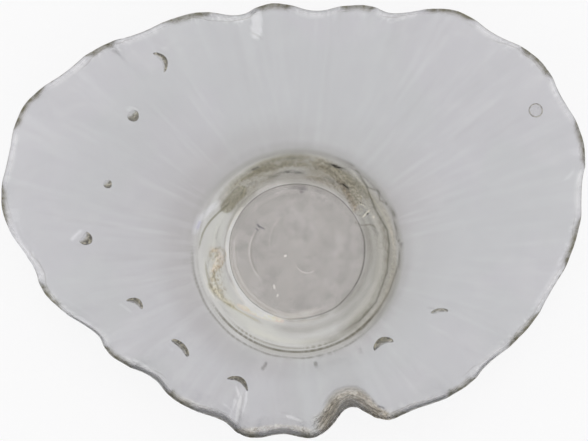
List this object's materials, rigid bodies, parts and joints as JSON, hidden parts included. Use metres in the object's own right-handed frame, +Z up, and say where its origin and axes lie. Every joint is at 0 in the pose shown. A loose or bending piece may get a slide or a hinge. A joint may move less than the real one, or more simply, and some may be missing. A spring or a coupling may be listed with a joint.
{
  "type": "glass bowl",
  "caption": "Free-form clear glass bowl with a thick round well, a broad fluted wall, a ruffled oval rim with a deep fold, and applied glass drops.",
  "frame": {"origin": "centre of the foot's flat underside, on the surface that the bowl stands on", "axes": "+Z up out of the bowl, +X along the oval's long way towards its wider end, +Y across it, away from the fold"},
  "size_m": [0.3727, 0.2733, 0.0975],
  "materials": {
    "clear_glass": "polished",
    "foot_glass": "polished, ground flat underneath",
    "drop_glass": "polished"
  },
  "bodies": {
    "root": {"bowl_body": "clear_glass", "foot_pad": "foot_glass", "wall_drop_1": "drop_glass", "wall_drop_2": "drop_glass", "wall_drop_3": "drop_glass", "wall_drop_4": "drop_glass", "wall_drop_5": "drop_glass", "wall_drop_6": "drop_glass", "wall_drop_7": "drop_glass", "wall_drop_8": "drop_glass", "wall_drop_9": "drop_glass", "wall_drop_10": "drop_glass"}
  },
  "joints": []
}
